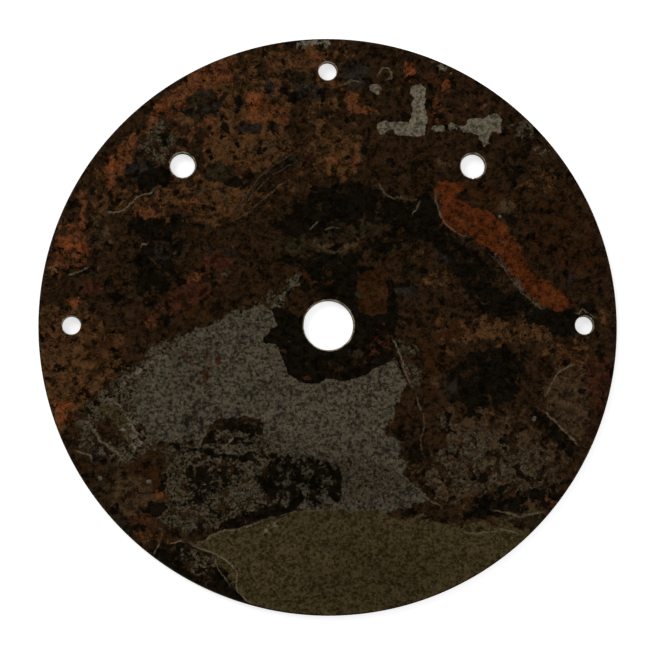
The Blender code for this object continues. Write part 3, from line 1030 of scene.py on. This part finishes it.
def build_disc():
    """One closed mesh: the front face with its fine relief, the back face, the rim and the holes' walls."""
    loops = edge_loops()
    front, front_triangles = face_sheet([rings[0] for _, rings, _, _ in loops], FRONT_SPACING, FRONT_SEED)
    back, back_triangles = face_sheet([rings[-1] for _, rings, _, _ in loops], BACK_SPACING, BACK_SEED)
    front_face = Patina(front)
    paint_front(front_face)
    back_face = Patina(back)
    paint_back(back_face)

    relief = front_relief(front_face)
    relief[:sum(len(rings[0]) for _, rings, _, _ in loops)] = 0
    points = [np.column_stack([front, FRONT_Z - relief])]
    points.append(np.column_stack([back, np.full(len(back), BACK_Z)]))
    patinas = [front_face.attributes(), back_face.attributes()]
    faces = front_triangles.tolist()
    shift = len(front)
    faces += [(a + shift, c + shift, b + shift) for a, b, c in back_triangles.tolist()]

    # Each wall joins an edge's ring on the front face to its ring on the back face
    count = len(front) + len(back)
    start = 0
    for name, rings, heights, outward in loops:
        steps = len(rings[0])
        places = np.concatenate(rings[1:-1])
        levels = np.repeat(heights[1:-1], steps)
        points.append(np.column_stack([places, levels]))
        # The holes' front corners get worn bare steel with a painted highlight; the rim gets none
        patinas.append(edge_patina(places, levels, 0.0 if name == "rim" else HOLE_WEAR_AND_HIGHLIGHT).attributes())
        starts = [start, *range(count, count + len(places), steps), shift + start]
        for upper, lower in zip(starts, starts[1:]):
            for i in range(steps):
                j = (i + 1) % steps
                quad = (upper + i, lower + i, lower + j, upper + j)
                faces.append(quad if outward else quad[::-1])
        count += len(places)
        start += steps

    mesh = bpy.data.meshes.new("patinated_disc")
    mesh.from_pydata(np.concatenate(points) * MM, [], faces)
    mesh.validate()
    for name in patinas[0]:
        layer = mesh.attributes.new(name, "FLOAT", "POINT")
        layer.data.foreach_set("value", np.concatenate([p[name] for p in patinas]).astype(np.float32))
    mesh.shade_smooth()
    mesh.set_sharp_from_angle(angle=SHARP_ANGLE)
    disc = bpy.data.objects.new("patinated_disc", mesh)
    bpy.context.scene.collection.objects.link(disc)
    return disc


def linear(colour):
    """A colour from 0 to 255 as the shader takes it."""
    scaled = np.array(colour) / 255
    value = np.where(scaled <= 0.04045, scaled / 12.92, ((scaled + 0.055) / 1.055) ** 2.4)
    return (*value.tolist(), 1.0)


class Nodes:
    """Adds nodes to a material or a world and links them."""

    def __init__(self, owner):
        owner.use_nodes = True
        self.tree = owner.node_tree

    def add(self, kind):
        return self.tree.nodes.new("ShaderNode" + kind)

    def put(self, value, socket):
        if isinstance(value, bpy.types.NodeSocket):
            self.tree.links.new(value, socket)
        else:
            socket.default_value = value

    def fill(self, node, values):
        for name, value in values.items():
            self.put(value, node.inputs[name])

    def math(self, operation, *values, clamp=False):
        node = self.add("Math")
        node.operation = operation
        node.use_clamp = clamp
        for value, socket in zip(values, node.inputs):
            self.put(value, socket)
        return node.outputs[0]

    def read(self, name):
        node = self.add("Attribute")
        node.attribute_name = name
        return node.outputs["Fac"]

    def parts(self, colour):
        node = self.add("SeparateColor")
        self.put(colour, node.inputs["Color"])
        return list(node.outputs)

    def noise(self, size, detail, roughness, distortion, offset):
        """Three noises at once, each about 0 to 1, whose lumps are this many mm wide."""
        mapping = self.add("Mapping")
        self.fill(mapping, {"Vector": self.add("TexCoord").outputs["Object"], "Location": offset})
        node = self.add("TexNoise")
        self.fill(node, {"Vector": mapping.outputs["Vector"], "Scale": 1 / (size * MM), "Detail": detail,
                         "Roughness": roughness, "Distortion": distortion})
        return self.parts(node.outputs["Color"])

    def span(self, value, low, high, to_low=0.0, to_high=1.0, smooth=False):
        node = self.add("MapRange")
        node.interpolation_type = "SMOOTHSTEP" if smooth else "LINEAR"
        limits = {"From Min": low, "From Max": high, "To Min": to_low, "To Max": to_high}
        self.fill(node, {"Value": value, **limits})
        return node.outputs["Result"]

    def mix(self, amount, first, second):
        node = self.add("Mix")
        node.data_type = "RGBA"
        self.put(amount, node.inputs[0])
        self.put(first, node.inputs[6])
        self.put(second, node.inputs[7])
        return node.outputs[2]

    def scale(self, colour, factor):
        node = self.add("VectorMath")
        node.operation = "SCALE"
        self.put(colour, node.inputs[0])
        self.put(factor, node.inputs["Scale"])
        return node.outputs[0]


def line_mask(nodes, kind, wobble):
    """Where a thin line shows: on both sides of it, close to it, and not where it has faded."""
    side = nodes.math("ADD", nodes.read(kind + "_side"), wobble)
    body = nodes.span(nodes.math("ABSOLUTE", side), *LINE_EDGE, 1.0, 0.0, smooth=True)
    close = nodes.span(nodes.read(kind + "_near"), *LINE_REACH, 1.0, 0.0)
    return nodes.math("MULTIPLY", nodes.math("MULTIPLY", body, close), nodes.read(kind + "_force"))


def dark_to_light(nodes, first, second, kind):
    """From 0 where a finish is darkest to 1 where it is lightest, by two noises."""
    share, darkest, lightest = kind
    return nodes.span(nodes.math("MULTIPLY_ADD", second, share, first), darkest, lightest)


def patina_material():
    """Steel with its finishes, each breaking into the next along a ragged edge."""
    material = bpy.data.materials.new("patinated_steel")
    nodes = Nodes(material)
    marbling, mottling, crumbs, grain = [nodes.noise(*kind) for kind in (MARBLING, MOTTLING, CRUMBS, GRAIN)]
    borders = marbling + mottling + crumbs
    mottle = dark_to_light(nodes, mottling[0], grain[0], MOTTLE)
    sheen = dark_to_light(nodes, crumbs[0], mottling[0], SHEEN)
    crumble = dark_to_light(nodes, crumbs[1], mottling[2], CRUMBLE)
    shades = {"speckle": crumble, "steel": sheen, "olive": sheen, "ash": sheen}

    # The finish with the most weight shows, and its traits are its roughness and metallic value
    best = None
    for index, (name, (darkest, lightest, rough, metal)) in enumerate(FINISHES.items()):
        wave = nodes.span(borders[index % len(borders)], *SWING_NOISE, *WEIGHT_SWING)
        weight = nodes.math("MULTIPLY", nodes.read(name), wave)
        own_colour = nodes.mix(shades.get(name, mottle), linear(darkest), linear(lightest))
        own_traits = (rough, metal, 0, 1)
        if best is None:
            best, colour, traits = weight, own_colour, nodes.mix(0.0, own_traits, own_traits)
            continue
        wins = nodes.span(nodes.math("SUBTRACT", weight, best), -CLEAR_WIN, CLEAR_WIN, smooth=True)
        colour = nodes.mix(wins, colour, own_colour)
        traits = nodes.mix(wins, traits, own_traits)
        best = nodes.math("MAXIMUM", weight, best)

    wobble = nodes.span(mottling[1], 0.2, 0.8, -LINE_WOBBLE, LINE_WOBBLE)
    dark_line = nodes.math("MULTIPLY", line_mask(nodes, "dark_line", wobble), DARK_LINE_COVER)
    colour = nodes.mix(dark_line, colour, linear(DARK_LINE))
    broken = nodes.span(crumbs[2], *LINE_BREAKS)
    pale_line = nodes.math("MULTIPLY", line_mask(nodes, "pale_line", wobble), broken)
    colour = nodes.mix(pale_line, colour, linear(PALE_LINE))
    speckling = nodes.span(grain[1], 0.32, 0.68, 1 - TONE_SWING, 1 + TONE_SWING)
    colour = nodes.scale(colour, nodes.math("MULTIPLY", nodes.read("tone"), speckling))
    rough, metal, _ = nodes.parts(traits)
    rough_grain = nodes.span(grain[1], 0.3, 0.7, -ROUGHNESS_SWING, ROUGHNESS_SWING)

    bump = nodes.add("Bump")
    height = nodes.math("ADD", mottle, nodes.math("MULTIPLY", grain[2], 0.6))
    nodes.fill(bump, {"Strength": BUMP_STRENGTH, "Distance": BUMP_HEIGHT * MM, "Height": height})
    nodes.fill(nodes.tree.nodes["Principled BSDF"], {
        "Base Color": colour,
        "Roughness": nodes.math("ADD", rough, rough_grain, clamp=True),
        "Metallic": metal,
        "Specular IOR Level": 0.0,
        "Normal": bump.outputs["Normal"],
    })
    return material


def make_camera():
    """The camera's fit to the photograph: almost square on, with the disc's centre near the middle."""
    turn_y = Matrix.Rotation(radians(CAMERA_TURN_Y), 4, "Y")
    turn_x = Matrix.Rotation(radians(CAMERA_TURN_X), 4, "X")
    away = Matrix.Translation(Vector((*CAMERA_SHIFT, -CAMERA_DISTANCE)) * MM)
    data = bpy.data.cameras.new("photo_camera")
    data.sensor_fit = "AUTO"
    data.sensor_width = SENSOR_WIDTH
    data.lens = LENS
    data.clip_start = 0.01
    data.clip_end = 20.0
    camera = bpy.data.objects.new("photo_camera", data)
    camera.matrix_world = Matrix.Translation((0, 0, FRONT_Z * MM)) @ (away @ turn_y @ turn_x).inverted()
    bpy.context.scene.collection.objects.link(camera)
    bpy.context.scene.camera = camera


def area_light(name, place, size, power):
    """A square lamp that faces the disc."""
    data = bpy.data.lights.new(name, "AREA")
    data.shape = "SQUARE"
    data.size = size
    data.energy = power
    lamp = bpy.data.objects.new(name, data)
    lamp.location = place
    lamp.rotation_euler = (-Vector(place)).to_track_quat("-Z", "Y").to_euler()
    bpy.context.scene.collection.objects.link(lamp)


def seen_plainly(nodes):
    """1 for what the camera sees, straight or in a reflection or through glass, and 0 for light."""
    path = nodes.add("LightPath").outputs
    indirect = nodes.math("MAXIMUM", path["Is Glossy Ray"], path["Is Transmission Ray"])
    return nodes.math("MAXIMUM", path["Is Camera Ray"], indirect)


def make_room():
    """A white room for the camera and for reflections, which lights the disc less strongly."""
    world = bpy.data.worlds.new("studio")
    bpy.context.scene.world = world
    nodes = Nodes(world)
    strength = nodes.span(seen_plainly(nodes), 0.0, 1.0, ROOM_LIGHT, 1.0)
    nodes.fill(nodes.tree.nodes["Background"], {"Color": (1, 1, 1, 1), "Strength": strength})


def make_floor():
    """A pale floor, just under the disc."""
    corners = [(x * FLOOR_REACH, y * FLOOR_REACH, 0) for x, y in ((-1, -1), (1, -1), (1, 1), (-1, 1))]
    mesh = bpy.data.meshes.new("studio_floor")
    mesh.from_pydata(corners, [], [(0, 1, 2, 3)])
    floor = bpy.data.objects.new("studio_floor", mesh)
    floor.location.z = (BACK_Z - FLOOR_GAP) * MM
    bpy.context.scene.collection.objects.link(floor)
    material = bpy.data.materials.new("studio_floor")
    nodes = Nodes(material)
    nodes.fill(nodes.tree.nodes["Principled BSDF"], {
        "Base Color": (FLOOR_COLOUR, FLOOR_COLOUR, FLOOR_COLOUR, 1),
        "Roughness": 0.9,
        "Specular IOR Level": 0.0,
        "Emission Color": (1, 1, 1, 1),
        "Emission Strength": nodes.math("MULTIPLY", seen_plainly(nodes), FLOOR_GLOW),
    })
    mesh.materials.append(material)


make_camera()
area_light("key_light", *KEY_LIGHT)
area_light("fill_light", *FILL_LIGHT)
make_room()
make_floor()
disc = build_disc()
disc.data.materials.append(patina_material())
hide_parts(NODE)
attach(disc, BODY)
bpy.context.scene.view_settings.view_transform = "Standard"
